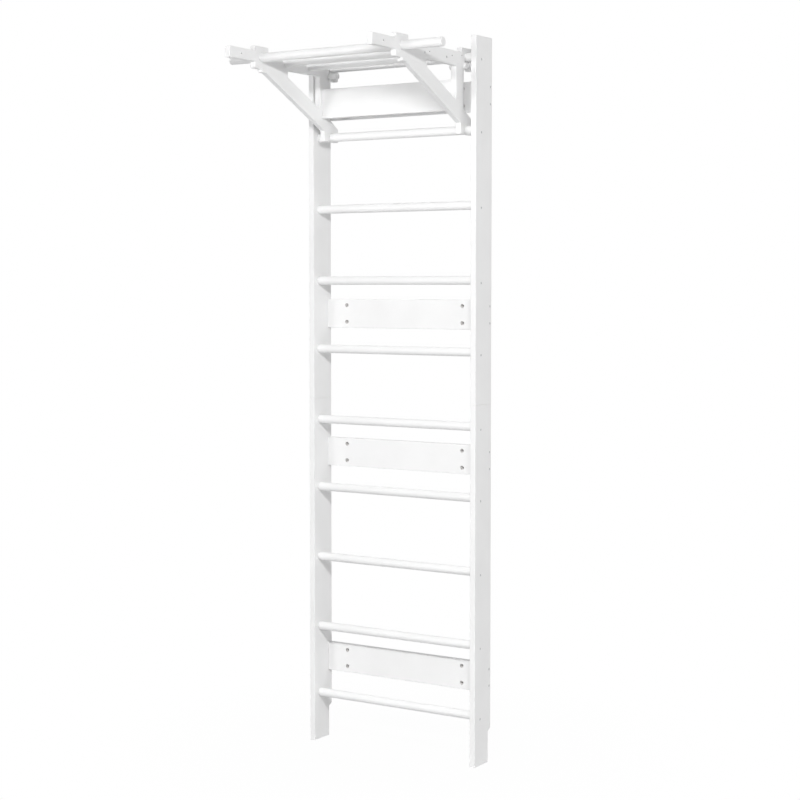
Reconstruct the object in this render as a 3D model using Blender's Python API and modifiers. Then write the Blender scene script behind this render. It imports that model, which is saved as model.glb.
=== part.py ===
"""Wall bars of white painted wood, with a pull-up frame that hooks over the two top rungs.

The origin is on the floor, in the wall plane, midway between the uprights.
+X runs along the rungs to the right, +Y points into the wall and +Z points up.
"""
import math

import bmesh
import bpy
from mathutils import Matrix

# Fits, in metres
GAP = 0.0003                  # left between pieces that touch
MERGE = 1e-6                  # points closer than this are one point
CREASE = math.radians(30)     # edges sharper than this stay sharp in the shading

# Rungs and uprights, in metres
CLEAR_WIDTH = 0.600           # between the two uprights
UPRIGHT_THICKNESS = 0.019
UPRIGHT_ROUND = 0.0015        # rounding of the uprights' edges
RUNG_COUNT = 10
RUNG_DIAMETER = 0.028
RUNG_SETBACK = 0.0345         # from the uprights' front face to the rungs' axes
RUNG_SOCKET = 0.012           # how deep a rung enters an upright
FLOOR_TO_RUNG = 0.158         # from the floor to the lowest rung's axis
RUNG_PITCH = 0.235            # between two rungs with nothing between them
BOARD_PITCH = 0.226           # between two rungs with a wall board between them
TOP_MARGIN = 0.063            # from the top rung's axis to the uprights' top
JOINT_RUNG = 5                # the uprights' two lengths meet above this rung, counted from the floor
JOINT_RISE = 0.070            # from that rung's axis up to the butt joint

# Notch at the uprights' back, for a skirting board
NOTCH_DEPTH = 0.016
NOTCH_HEIGHT = 0.100
NOTCH_SLANT = 0.009           # rise of the notch's slanting top

# Wall boards
BOARD_GAPS = (1, 4, 6, 9)     # the gaps between rungs that hold a board, counted from the floor
BOARD_LIFTS = (0.0015, 0.002, 0.004, -0.0035)  # each board's middle above the middle of its gap
BOARD_HEIGHT = 0.095
BOARD_THICKNESS = 0.019
BOARD_ROUND = 0.0015
WALL_HOLE = 0.007             # for the screws that go into the wall
COUNTERBORE = 0.013
COUNTERBORE_DEPTH = 0.006
WALL_HOLE_INSET = 0.077       # from an upright's inner face to the hole's axis
HOLE_SPREAD = 0.055           # between the upper and the lower hole

# Screws
SCREW_SHANK = 0.004
SCREW_HEAD = 0.008
SCREW_HEAD_DEPTH = 0.0022
SCREW_LENGTH = 0.030
SCREW_DRIVE = 0.003           # width of the hexagonal recess
SCREW_DRIVE_DEPTH = 0.0012
RUNG_SCREW_DROP = 0.009       # below the rung's axis, which stops the rung from turning
BAR_SCREW_DROP = 0.006

# Pegs through the side plates that lock the hooks under the top rung
PEG_DIAMETER = 0.020
PEG_DROP = 0.028              # from the top rung's axis down to the peg's axis
PEG_SEAT = 0.001              # the peg's axis lies this far inside the wood in front of the hook's slot
PEG_INWARD = 0.0342           # how far a peg stands out of its side plate's inner face
PEG_OUTWARD = 0.0075          # and of its outer face
PEG_ROUND = 0.002

# Pull-up frame: bars
BAR_DIAMETER = 0.028
BAR_PITCH = 0.1265            # from the top rung to the rear bar, and from bar to bar
BAR_DROP = 0.0065             # the bars' axes below the top rung's axis
BAR_SOCKET = 0.010
GRIP_LEFT = 0.1005            # the front bar beyond the left side plate
GRIP_RIGHT = 0.1415

# Pull-up frame: side plates
PLATE_THICKNESS = 0.019
PLATE_GAP = 0.032             # between an upright and a side plate
PLATE_ROUND = 0.0025          # rounding of the plates' edges
ARM_REACH = 0.160             # from the front bar's axis to the arm's front end
ARM_ABOVE = 0.020             # arm above and below the bars' axes
FRONT_ARM_BELOW = 0.0145
REAR_ARM_BELOW = 0.0255
ARM_HOLE = 0.006
ARM_HOLE_SETBACK = 0.059      # from the arm's front end
ARM_HOLE_RISE = 0.002         # above the bars' axes
BOSS_SIZE = 0.070             # square pad round the front bar and over the top rung
BOSS_ROUND = 0.005
HOOK_JAW = 0.0202             # wood in front of the top rung
HOOK_LIP = 0.0212             # wood behind both rungs
HOOK_CLEARANCE = 0.011        # between the hook's back and the wall boards' front
POST_DEPTH = 0.048
POST_SETBACK = 0.0077         # from the post's back to the rung slot
FOOT_LIP = 0.0267             # wood in front of the second rung
FOOT_RISE = 0.020             # front corner of the foot above the second rung's axis
TAIL_RISE = 0.029             # top of the foot's back above the second rung's axis
BRACE_WIDTH = 0.049
BRACE_DROP = 0.0336           # the brace's lower edge, below the front bar's axis
BRACE_TOE = 0.0095            # the brace's toe, below the front pad
WINDOW_SETBACK = 0.137        # from the front bar's axis to the window's front edge
WINDOW_ROUND = 0.005

# Pull-up frame: board between the two posts, of the same stock as the wall boards
CROSS_BOARD_RISE = 0.106      # from the second rung's axis up to the board's middle

# Facets
ROUND_SIDES = 32
SCREW_SIDES = 12
HOLE_SIDES = 16

# Places that follow from the sizes
INNER_X = CLEAR_WIDTH / 2
OUTER_X = INNER_X + UPRIGHT_THICKNESS
RUNG_RADIUS = RUNG_DIAMETER / 2
SLOT_RADIUS = RUNG_RADIUS + GAP
RUNG_Y = -(BOARD_THICKNESS + HOOK_CLEARANCE + HOOK_LIP + SLOT_RADIUS)
FRONT_Y = RUNG_Y - RUNG_SETBACK
RUNG_HEIGHTS = [FLOOR_TO_RUNG]
for gap_number in range(1, RUNG_COUNT):
    step = BOARD_PITCH if gap_number in BOARD_GAPS else RUNG_PITCH
    RUNG_HEIGHTS.append(RUNG_HEIGHTS[-1] + step)
TOP_RUNG_Z = RUNG_HEIGHTS[-1]
SECOND_RUNG_Z = RUNG_HEIGHTS[-2]
LADDER_TOP = TOP_RUNG_Z + TOP_MARGIN
JOINT_Z = RUNG_HEIGHTS[JOINT_RUNG - 1] + JOINT_RISE
BAR_Z = TOP_RUNG_Z - BAR_DROP
FRONT_BAR_Y = RUNG_Y - 3 * BAR_PITCH
PLATE_OUTER_X = INNER_X - PLATE_GAP
PLATE_INNER_X = PLATE_OUTER_X - PLATE_THICKNESS
ARM_FRONT_Y = FRONT_BAR_Y - ARM_REACH
INNER_BARS = {"rear": RUNG_Y - BAR_PITCH, "middle": RUNG_Y - 2 * BAR_PITCH}
PEG_Y = RUNG_Y - SLOT_RADIUS - PEG_SEAT
PEG_Z = TOP_RUNG_Z - PEG_DROP
POST_BACK_Y = RUNG_Y - SLOT_RADIUS - POST_SETBACK
POST_FRONT_Y = POST_BACK_Y - POST_DEPTH
CROSS_BOARD_BACK_Y = (POST_FRONT_Y + POST_BACK_Y + BOARD_THICKNESS) / 2

SIDES = {"left": -1, "right": 1}


def clear_scene():
    """Removes what a new file holds and makes the two collections."""
    for leftover in list(bpy.data.objects):
        bpy.data.objects.remove(leftover)
    made = []
    for name in ("wall_bars", "cutters"):
        collection = bpy.data.collections.new(name)
        bpy.context.scene.collection.children.link(collection)
        made.append(collection)
    return made


parts, cutters = clear_scene()


def material(name, colour, roughness, metallic=0.0):
    """A plain surface of one colour."""
    made = bpy.data.materials.new(name)
    made.use_nodes = True
    surface = made.node_tree.nodes["Principled BSDF"]
    surface.inputs["Base Color"].default_value = (*colour, 1.0)
    surface.inputs["Roughness"].default_value = roughness
    surface.inputs["Metallic"].default_value = metallic
    return made


UPRIGHT_PAINT = material("upright_white_paint", (0.86, 0.86, 0.86), 0.45)
RUNG_PAINT = material("rung_white_paint", (0.88, 0.88, 0.88), 0.38)
BOARD_PAINT = material("board_white_paint", (0.86, 0.86, 0.86), 0.5)
FRAME_PAINT = material("pullup_frame_white_paint", (0.87, 0.87, 0.87), 0.42)
SCREW_STEEL = material("screw_steel", (0.48, 0.48, 0.49), 0.35, 1.0)


def place(name, mesh, finish=None):
    """Puts a mesh in the scene, as a piece when it has a finish and as a cutter when it has none."""
    made = bpy.data.objects.new(name, mesh)
    if finish is None:
        cutters.objects.link(made)
        made.hide_render = True
        made.display_type = "WIRE"
        return made
    parts.objects.link(made)
    mesh.materials.append(finish)
    mesh.shade_smooth()
    mesh.set_sharp_from_angle(angle=CREASE)
    return made


def mesh_of(name, shape):
    """Turns a bmesh into a mesh and frees it."""
    bmesh.ops.recalc_face_normals(shape, faces=shape.faces[:])
    mesh = bpy.data.meshes.new(name)
    shape.to_mesh(mesh)
    shape.free()
    return mesh


def add_box(shape, low, high):
    """Adds a box to a bmesh and returns its corner points."""
    size = [high[axis] - low[axis] for axis in range(3)]
    middle = [(high[axis] + low[axis]) / 2 for axis in range(3)]
    matrix = Matrix.Translation(middle) @ Matrix.Diagonal((*size, 1.0))
    return bmesh.ops.create_cube(shape, size=1.0, matrix=matrix)["verts"]


def add_rod(shape, start_x, end_x, y, z, radius, sides=ROUND_SIDES):
    """Adds a cylinder that lies along X."""
    matrix = Matrix.Translation(((start_x + end_x) / 2, y, z)) @ Matrix.Rotation(math.pi / 2, 4, "Y")
    bmesh.ops.create_cone(
        shape, cap_ends=True, segments=sides, radius1=radius, radius2=radius,
        depth=abs(end_x - start_x), matrix=matrix)


def rod(name, start_x, end_x, y, z, radius, finish=None, sides=ROUND_SIDES):
    """A single cylinder along X, as a piece or as a cutter."""
    shape = bmesh.new()
    add_rod(shape, start_x, end_x, y, z, radius, sides)
    return place(name, mesh_of(name, shape), finish)


def cut(piece, cutter):
    """Takes the cutter's shape out of the piece."""
    modifier = piece.modifiers.new("cut_" + cutter.name, "BOOLEAN")
    modifier.operation = "DIFFERENCE"
    modifier.solver = "EXACT"
    modifier.object = cutter


def round_edges(piece, radius):
    """Rounds the piece's sharp edges, and splits its faces into triangles, which cut cleanly."""
    modifier = piece.modifiers.new("round_edges", "BEVEL")
    modifier.width = radius
    modifier.segments = 2
    modifier.limit_method = "ANGLE"
    modifier.angle_limit = math.radians(40)
    piece.modifiers.new("triangles", "TRIANGULATE")


def rounded(corners):
    """Points of an outline, with each corner (y, z, radius) turned into an arc."""
    points = []
    for index, (y, z, radius) in enumerate(corners):
        if radius == 0:
            points.append((y, z))
            continue
        before = corners[index - 1]
        after = corners[(index + 1) % len(corners)]
        to_before = (before[0] - y, before[1] - z)
        to_after = (after[0] - y, after[1] - z)
        length_before = math.hypot(*to_before)
        length_after = math.hypot(*to_after)
        unit_before = (to_before[0] / length_before, to_before[1] / length_before)
        unit_after = (to_after[0] / length_after, to_after[1] / length_after)
        cosine = unit_before[0] * unit_after[0] + unit_before[1] * unit_after[1]
        half_angle = math.acos(max(-1.0, min(1.0, cosine))) / 2
        tangent = radius / math.tan(half_angle)
        reach = radius / math.sin(half_angle)
        bisector = (unit_before[0] + unit_after[0], unit_before[1] + unit_after[1])
        scale = reach / math.hypot(*bisector)
        centre = (y + bisector[0] * scale, z + bisector[1] * scale)
        start = (y + unit_before[0] * tangent, z + unit_before[1] * tangent)
        end = (y + unit_after[0] * tangent, z + unit_after[1] * tangent)
        start_angle = math.atan2(start[1] - centre[1], start[0] - centre[0])
        turn = math.atan2(end[1] - centre[1], end[0] - centre[0]) - start_angle
        turn = (turn + math.pi) % (2 * math.pi) - math.pi
        for count in range(5):
            angle = start_angle + turn * count / 4
            points.append((centre[0] + radius * math.cos(angle), centre[1] + radius * math.sin(angle)))
    return points


def panel(name, outlines, low_x, high_x, finish):
    """A flat piece: outlines in the Y-Z plane, given thickness along X. Later outlines are holes."""
    curve = bpy.data.curves.new(name, "CURVE")
    curve.dimensions = "2D"
    curve.fill_mode = "BOTH"
    curve.extrude = (high_x - low_x) / 2
    for outline in outlines:
        spline = curve.splines.new("POLY")
        spline.points.add(len(outline) - 1)
        for point, (y, z) in zip(spline.points, outline):
            point.co = (y, z, 0.0, 1.0)
        spline.use_cyclic_u = True
    flat = bpy.data.objects.new(name, curve)
    parts.objects.link(flat)
    middle_x = (low_x + high_x) / 2
    flat.matrix_world = Matrix(((0, 0, 1, middle_x), (1, 0, 0, 0), (0, 1, 0, 0), (0, 0, 0, 1)))
    evaluated = flat.evaluated_get(bpy.context.evaluated_depsgraph_get())
    mesh = bpy.data.meshes.new_from_object(evaluated)
    matrix = flat.matrix_world.copy()
    bpy.data.objects.remove(flat)
    shape = bmesh.new()
    shape.from_mesh(mesh)
    bpy.data.meshes.remove(mesh)
    bmesh.ops.remove_doubles(shape, verts=shape.verts[:], dist=MERGE)
    bmesh.ops.dissolve_limit(
        shape, angle_limit=math.radians(1), verts=shape.verts[:], edges=shape.edges[:])
    bmesh.ops.transform(shape, matrix=matrix, verts=shape.verts[:])
    return place(name, mesh_of(name, shape), finish)


def turned(name, profile, sides):
    """A mesh turned round the X axis from (x, radius) points that start and end on the axis."""
    shape = bmesh.new()
    points = [shape.verts.new((x, 0.0, radius)) for x, radius in profile]
    for first, second in zip(points, points[1:]):
        shape.edges.new((first, second))
    bmesh.ops.spin(
        shape, geom=shape.verts[:] + shape.edges[:], cent=(0, 0, 0), axis=(1, 0, 0),
        angle=2 * math.pi, steps=sides, use_merge=True)
    bmesh.ops.remove_doubles(shape, verts=shape.verts[:], dist=MERGE)
    return mesh_of(name, shape)


def screw_mesh():
    """A countersunk screw with its head at x = 0 and its shank along -X."""
    head = SCREW_HEAD / 2
    shank = SCREW_SHANK / 2
    profile = [
        (0.0, 0.0), (0.0, head), (-SCREW_HEAD_DEPTH, shank),
        (-SCREW_LENGTH + shank, shank), (-SCREW_LENGTH, 0.0)]
    blank = place("screw_blank", turned("screw_blank", profile, SCREW_SIDES))
    shape = bmesh.new()
    add_rod(shape, -SCREW_DRIVE_DEPTH, SCREW_DRIVE_DEPTH, 0, 0, SCREW_DRIVE / math.sqrt(3), sides=6)
    drive = place("screw_drive", mesh_of("screw_drive", shape))
    cut(blank, drive)
    evaluated = blank.evaluated_get(bpy.context.evaluated_depsgraph_get())
    mesh = bpy.data.meshes.new_from_object(evaluated)
    for helper in (blank, drive):
        bpy.data.objects.remove(helper)
    mesh.name = "screw"
    mesh.materials.append(SCREW_STEEL)
    mesh.shade_smooth()
    mesh.set_sharp_from_angle(angle=CREASE)
    return mesh


SCREW = screw_mesh()


def screw_hole_mesh():
    """What a screw needs clear round it: a countersink and a bore. It starts outside the wood."""
    head = SCREW_HEAD / 2 + 1.5 * GAP
    shank = SCREW_SHANK / 2 + GAP
    profile = [
        (3 * GAP, 0.0), (3 * GAP, head), (-GAP, head), (-SCREW_HEAD_DEPTH - GAP, shank),
        (-SCREW_LENGTH - GAP, shank), (-SCREW_LENGTH - GAP, 0.0)]
    return turned("screw_hole", profile, SCREW_SIDES)


SCREW_HOLE = screw_hole_mesh()


def drive_screw(name, outer_x, y, z, side, pieces):
    """Sets a screw flush in a face that looks along side, and clears its hole in the pieces."""
    turn = Matrix.Rotation(0 if side > 0 else math.pi, 4, "Z")
    matrix = Matrix.Translation((outer_x - side * GAP, y, z)) @ turn
    made = bpy.data.objects.new(name, SCREW)
    parts.objects.link(made)
    made.matrix_world = matrix
    hole = bpy.data.objects.new("hole_" + name, SCREW_HOLE)
    cutters.objects.link(hole)
    hole.hide_render = True
    hole.display_type = "WIRE"
    hole.matrix_world = matrix
    for piece in pieces:
        cut(piece, hole)


def upright(name, side, bottom, top, rung_heights):
    """One length of an upright, with its rung sockets and, at the floor, the skirting notch."""
    low_x, high_x = sorted((side * INNER_X, side * OUTER_X))
    if bottom == 0:
        corners = [
            (FRONT_Y, bottom, 0), (-NOTCH_DEPTH, bottom, 0), (-NOTCH_DEPTH, NOTCH_HEIGHT, 0),
            (0.0, NOTCH_HEIGHT + NOTCH_SLANT, 0), (0.0, top, 0), (FRONT_Y, top, 0)]
    else:
        corners = [(FRONT_Y, bottom, 0), (0.0, bottom, 0), (0.0, top, 0), (FRONT_Y, top, 0)]
    made = panel(name, [rounded(corners)], low_x, high_x, UPRIGHT_PAINT)
    shape = bmesh.new()
    shape.from_mesh(made.data)
    long_edges = [
        edge for edge in shape.edges
        if abs(edge.verts[0].co.x - edge.verts[1].co.x) < GAP
        and not all(abs(vert.co.z - JOINT_Z) < 2 * GAP for vert in edge.verts)]
    bmesh.ops.bevel(
        shape, geom=long_edges, offset=UPRIGHT_ROUND, segments=2, profile=0.5, affect="EDGES",
        material=-1)
    shape.to_mesh(made.data)
    shape.free()
    made.data.shade_smooth()
    made.data.set_sharp_from_angle(angle=CREASE)
    sockets = bmesh.new()
    for height in rung_heights:
        add_rod(
            sockets, side * (INNER_X - RUNG_SOCKET), side * (INNER_X + RUNG_SOCKET), RUNG_Y, height,
            RUNG_RADIUS + GAP)
    cut(made, place("sockets_" + name, mesh_of("sockets_" + name, sockets)))
    return made


def make_uprights():
    """Four lengths: a lower and an upper one on each side, butted together."""
    lower_rungs = [height for height in RUNG_HEIGHTS if height < JOINT_Z]
    upper_rungs = [height for height in RUNG_HEIGHTS if height > JOINT_Z]
    made = {}
    for side_name, side in SIDES.items():
        made[side_name, "lower"] = upright(
            "upright_" + side_name + "_lower", side, 0, JOINT_Z - GAP / 2, lower_rungs)
        made[side_name, "upper"] = upright(
            "upright_" + side_name + "_upper", side, JOINT_Z + GAP / 2, LADDER_TOP, upper_rungs)
    return made


def make_rungs(uprights):
    """Ten round rungs, each locked at both ends by a screw below its axis."""
    end_x = INNER_X + RUNG_SOCKET - GAP
    for number, height in enumerate(RUNG_HEIGHTS, start=1):
        made = rod("rung_%02d" % number, -end_x, end_x, RUNG_Y, height, RUNG_RADIUS, RUNG_PAINT)
        length = "lower" if height < JOINT_Z else "upper"
        for side_name, side in SIDES.items():
            drive_screw(
                "rung_screw_%s_%02d" % (side_name, number), side * OUTER_X, RUNG_Y,
                height - RUNG_SCREW_DROP, side, (made, uprights[side_name, length]))


def board(name, end_x, back_y, middle_z, finish):
    """One board along X, with its long edges rounded."""
    shape = bmesh.new()
    add_box(
        shape, (-end_x, back_y - BOARD_THICKNESS, middle_z - BOARD_HEIGHT / 2),
        (end_x, back_y, middle_z + BOARD_HEIGHT / 2))
    long_edges = [
        edge for edge in shape.edges if abs(edge.verts[0].co.x - edge.verts[1].co.x) > end_x]
    bmesh.ops.bevel(
        shape, geom=long_edges, offset=BOARD_ROUND, segments=2, profile=0.5, affect="EDGES",
        material=-1)
    return place(name, mesh_of(name, shape), finish)


def make_boards():
    """Four boards between the uprights, bored for the screws that hold the ladder to the wall."""
    for number, (gap_below, lift) in enumerate(zip(BOARD_GAPS, BOARD_LIFTS), start=1):
        middle = (RUNG_HEIGHTS[gap_below - 1] + RUNG_HEIGHTS[gap_below]) / 2 + lift
        made = board("wall_board_%d" % number, INNER_X - GAP, 0.0, middle, BOARD_PAINT)
        cut(made, place("wall_holes_%d" % number, wall_holes(middle)))


def wall_holes(middle):
    """Four stepped holes for one board, each turned as one solid that lies along Y."""
    shape = bmesh.new()
    profile = [
        (-GAP - BOARD_THICKNESS, 0.0), (-GAP - BOARD_THICKNESS, COUNTERBORE / 2),
        (COUNTERBORE_DEPTH - BOARD_THICKNESS, COUNTERBORE / 2),
        (COUNTERBORE_DEPTH - BOARD_THICKNESS, WALL_HOLE / 2), (GAP, WALL_HOLE / 2), (GAP, 0.0)]
    for side in SIDES.values():
        for level in (-0.5, 0.5):
            hole = turned("wall_hole", profile, HOLE_SIDES)
            hole.transform(Matrix.Rotation(math.pi / 2, 4, "Z"))
            x = side * (INNER_X - WALL_HOLE_INSET)
            hole.transform(Matrix.Translation((x, 0.0, middle + level * HOLE_SPREAD)))
            shape.from_mesh(hole)
            bpy.data.meshes.remove(hole)
    return mesh_of("wall_holes", shape)


def lock_peg(side_name, side):
    """A round peg that stands half out of the front wall of the hook's slot, under the top rung."""
    radius = PEG_DIAMETER / 2
    inner_x = PLATE_INNER_X - PEG_INWARD
    outer_x = PLATE_OUTER_X + PEG_OUTWARD
    profile = [
        (inner_x, 0.0), (inner_x, radius - PEG_ROUND), (inner_x + PEG_ROUND, radius),
        (outer_x - PEG_ROUND, radius), (outer_x, radius - PEG_ROUND), (outer_x, 0.0)]
    mesh = turned("lock_peg", [(side * x, across) for x, across in profile], ROUND_SIDES)
    mesh.transform(Matrix.Translation((0.0, PEG_Y, PEG_Z)))
    place("lock_peg_" + side_name, mesh, FRAME_PAINT)


def slot(rung_z, from_z):
    """Outline points of a downward-open rung slot, from its back edge to its front edge."""
    points = [(RUNG_Y + SLOT_RADIUS, from_z, 0)]
    for count in range(13):
        angle = math.pi * count / 12
        y = RUNG_Y + SLOT_RADIUS * math.cos(angle)
        points.append((y, rung_z + SLOT_RADIUS * math.sin(angle), 0))
    points.append((RUNG_Y - SLOT_RADIUS, from_z, 0))
    return points


def plate_outlines():
    """The side plate's outline and its window, seen from the right: arm, hook, post, foot and brace."""
    arm_top = BAR_Z + ARM_ABOVE
    boss_top = BAR_Z + BOSS_SIZE / 2
    boss_bottom = BAR_Z - BOSS_SIZE / 2
    boss_front = FRONT_BAR_Y - BOSS_SIZE / 2
    boss_back = FRONT_BAR_Y + BOSS_SIZE / 2
    hook_front = RUNG_Y - SLOT_RADIUS - HOOK_JAW
    hook_back = RUNG_Y + SLOT_RADIUS + HOOK_LIP
    foot_front = RUNG_Y - SLOT_RADIUS - FOOT_LIP
    foot_bottom = SECOND_RUNG_Z - RUNG_RADIUS
    foot_corner = (foot_front, SECOND_RUNG_Z + FOOT_RISE)
    brace_start = BAR_Z - BRACE_DROP
    slope = (foot_corner[1] - brace_start) / (foot_corner[0] - FRONT_BAR_Y)
    brace_height = BRACE_WIDTH * math.hypot(1.0, slope)
    toe_bottom = boss_bottom - BRACE_TOE
    toe_back = FRONT_BAR_Y + (toe_bottom - brace_start) / slope

    def brace_top(y):
        return brace_start + slope * (y - FRONT_BAR_Y) + brace_height

    window_front = FRONT_BAR_Y + WINDOW_SETBACK
    window_top = BAR_Z - REAR_ARM_BELOW
    outline = [
        (ARM_FRONT_Y, BAR_Z - FRONT_ARM_BELOW, 0), (ARM_FRONT_Y, arm_top, 0),
        (boss_front, arm_top, 0), (boss_front, boss_top, BOSS_ROUND),
        (boss_back, boss_top, BOSS_ROUND), (boss_back, arm_top, 0),
        (hook_front, arm_top, 0), (hook_front, boss_top, 0),
        (hook_back, boss_top, BOSS_ROUND), (hook_back, boss_bottom, BOSS_ROUND)]
    outline += slot(TOP_RUNG_Z, boss_bottom)
    outline += [
        (POST_BACK_Y, boss_bottom, 0), (POST_BACK_Y, brace_top(POST_BACK_Y), 0),
        (hook_back, SECOND_RUNG_Z + TAIL_RISE, 0), (hook_back, foot_bottom, 0)]
    outline += slot(SECOND_RUNG_Z, foot_bottom)
    outline += [
        (foot_front, foot_bottom, 0), (*foot_corner, 0), (toe_back, toe_bottom, 0),
        (FRONT_BAR_Y, toe_bottom, 0), (FRONT_BAR_Y, boss_bottom, 0),
        (boss_front, boss_bottom, BOSS_ROUND),
        (boss_front, BAR_Z - FRONT_ARM_BELOW, 0)]
    window = [
        (window_front, window_top, WINDOW_ROUND), (POST_FRONT_Y, window_top, WINDOW_ROUND),
        (POST_FRONT_Y, brace_top(POST_FRONT_Y), WINDOW_ROUND),
        (window_front, brace_top(window_front), WINDOW_ROUND)]
    return [rounded(outline), rounded(window)]


def plate_bores(side):
    """What is bored out of one side plate: holes for the front bar, the peg and the arm, and two sockets."""
    shape = bmesh.new()
    through = (side * (PLATE_INNER_X - GAP), side * (PLATE_OUTER_X + GAP))
    blind = (side * (PLATE_INNER_X - BAR_SOCKET), side * (PLATE_INNER_X + BAR_SOCKET))
    arm_hole = (ARM_FRONT_Y + ARM_HOLE_SETBACK, BAR_Z + ARM_HOLE_RISE)
    add_rod(shape, *through, FRONT_BAR_Y, BAR_Z, BAR_DIAMETER / 2 + GAP)
    add_rod(shape, *through, PEG_Y, PEG_Z, PEG_DIAMETER / 2 + GAP)
    add_rod(shape, *through, *arm_hole, ARM_HOLE / 2, sides=SCREW_SIDES)
    for bar_y in INNER_BARS.values():
        add_rod(shape, *blind, bar_y, BAR_Z, BAR_DIAMETER / 2 + GAP)
    return mesh_of("plate_bores", shape)


def make_pullup_frame():
    """Two side plates with their pegs, a board between them, and three bars. The front one has two grips."""
    outlines = plate_outlines()
    bar_radius = BAR_DIAMETER / 2
    plates = {}
    for side_name, side in SIDES.items():
        low_x, high_x = sorted((side * PLATE_INNER_X, side * PLATE_OUTER_X))
        name = "pullup_side_" + side_name
        plates[side_name] = panel(name, outlines, low_x, high_x, FRAME_PAINT)
        round_edges(plates[side_name], PLATE_ROUND)
        lock_peg(side_name, side)
    board(
        "pullup_cross_board", PLATE_INNER_X - GAP, CROSS_BOARD_BACK_Y,
        SECOND_RUNG_Z + CROSS_BOARD_RISE, FRAME_PAINT)
    rod(
        "pullup_bar_front", -PLATE_OUTER_X - GRIP_LEFT, PLATE_OUTER_X + GRIP_RIGHT, FRONT_BAR_Y,
        BAR_Z, bar_radius, FRAME_PAINT)
    for bar_name, bar_y in INNER_BARS.items():
        end_x = PLATE_INNER_X + BAR_SOCKET - GAP
        bar = rod("pullup_bar_" + bar_name, -end_x, end_x, bar_y, BAR_Z, bar_radius, FRAME_PAINT)
        for side_name, side in SIDES.items():
            drive_screw(
                "bar_screw_%s_%s" % (bar_name, side_name), side * PLATE_OUTER_X, bar_y,
                BAR_Z - BAR_SCREW_DROP, side, (bar, plates[side_name]))
    for side_name, side in SIDES.items():
        cut(plates[side_name], place("bores_" + side_name, plate_bores(side)))


make_rungs(make_uprights())
make_boards()
make_pullup_frame()
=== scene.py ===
# %% [markdown]
# # Wall bars with a hook-on pull-up frame
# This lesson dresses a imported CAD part: white wooden wall bars, the ladder that lines the wall of a
# gym, with a pull-up frame hung over the two top rungs. Most places and sizes below are read from
# those solids, so that the pieces fit one another.

# %% Load the CAD frame
import math

import bmesh
import bpy
from mathutils import Matrix, Vector


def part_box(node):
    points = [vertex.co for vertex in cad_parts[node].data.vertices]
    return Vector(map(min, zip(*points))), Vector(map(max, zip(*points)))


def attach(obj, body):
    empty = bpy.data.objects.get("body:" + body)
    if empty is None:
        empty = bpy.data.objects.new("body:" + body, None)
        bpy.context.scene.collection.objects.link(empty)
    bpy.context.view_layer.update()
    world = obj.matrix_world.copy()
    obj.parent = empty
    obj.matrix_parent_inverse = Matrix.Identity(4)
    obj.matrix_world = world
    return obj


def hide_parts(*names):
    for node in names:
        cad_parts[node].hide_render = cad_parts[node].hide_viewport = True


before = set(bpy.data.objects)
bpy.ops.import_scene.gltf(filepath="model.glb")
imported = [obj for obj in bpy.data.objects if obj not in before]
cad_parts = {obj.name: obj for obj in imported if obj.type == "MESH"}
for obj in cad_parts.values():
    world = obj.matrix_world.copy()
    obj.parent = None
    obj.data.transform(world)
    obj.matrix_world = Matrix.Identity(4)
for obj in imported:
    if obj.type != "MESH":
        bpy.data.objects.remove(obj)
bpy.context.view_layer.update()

# %% [markdown]
# ## Building blocks for finishes
# A material is a small machine of nodes, wired from left to right. The same few blocks come back in
# every finish here: a noise for unevenness, a range that stretches part of it to full contrast, a
# blend of two colours, a sum, and a bump that roughens a surface without moving it. Each block is a
# function that adds its nodes and hands back a socket, so that a finish reads like a recipe.

# %% Start a finish and place a noise on it
def new_finish(name):
    """Makes a material, and hands it back with its node tree and its shader."""
    made = bpy.data.materials.new(name)
    made.use_nodes = True
    return made, made.node_tree, made.node_tree.nodes["Principled BSDF"]


def link(tree, source, target):
    tree.links.new(source, target)


def add_place(tree):
    """The place of each point of a piece, in metres."""
    return tree.nodes.new("ShaderNodeTexCoord").outputs["Object"]


def add_noise(tree, vector, scale, detail, roughness):
    noise = tree.nodes.new("ShaderNodeTexNoise")
    noise.inputs["Scale"].default_value = scale
    noise.inputs["Detail"].default_value = detail
    noise.inputs["Roughness"].default_value = roughness
    link(tree, vector, noise.inputs["Vector"])
    return noise.outputs["Fac"]


def add_mark(tree, name):
    """Reads a mark that was left on a piece's mesh, from 0 to 1."""
    mark = tree.nodes.new("ShaderNodeAttribute")
    mark.attribute_name = name
    return mark.outputs["Fac"]


# %% Stretch, mix and raise
def add_range(tree, value, from_low, from_high, to_low=0.0, to_high=1.0):
    ranged = tree.nodes.new("ShaderNodeMapRange")
    ranged.inputs["From Min"].default_value = from_low
    ranged.inputs["From Max"].default_value = from_high
    ranged.inputs["To Min"].default_value = to_low
    ranged.inputs["To Max"].default_value = to_high
    link(tree, value, ranged.inputs["Value"])
    return ranged.outputs["Result"]


def add_math(tree, operation, *values):
    """Works a number out of others. Each one is a socket or a plain number."""
    made = tree.nodes.new("ShaderNodeMath")
    made.operation = operation
    for socket, value in zip(made.inputs, values):
        if isinstance(value, float):
            socket.default_value = value
        else:
            link(tree, value, socket)
    return made.outputs[0]


def add_blend(tree, factor, first, second):
    """Mixes two colours. Each one is a socket or a plain colour."""
    mix = tree.nodes.new("ShaderNodeMix")
    mix.data_type = "RGBA"
    link(tree, factor, mix.inputs["Factor"])
    for socket, colour in ((mix.inputs[6], first), (mix.inputs[7], second)):
        if isinstance(colour, tuple):
            socket.default_value = (*colour, 1.0)
        else:
            link(tree, colour, socket)
    return mix.outputs[2]


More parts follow.
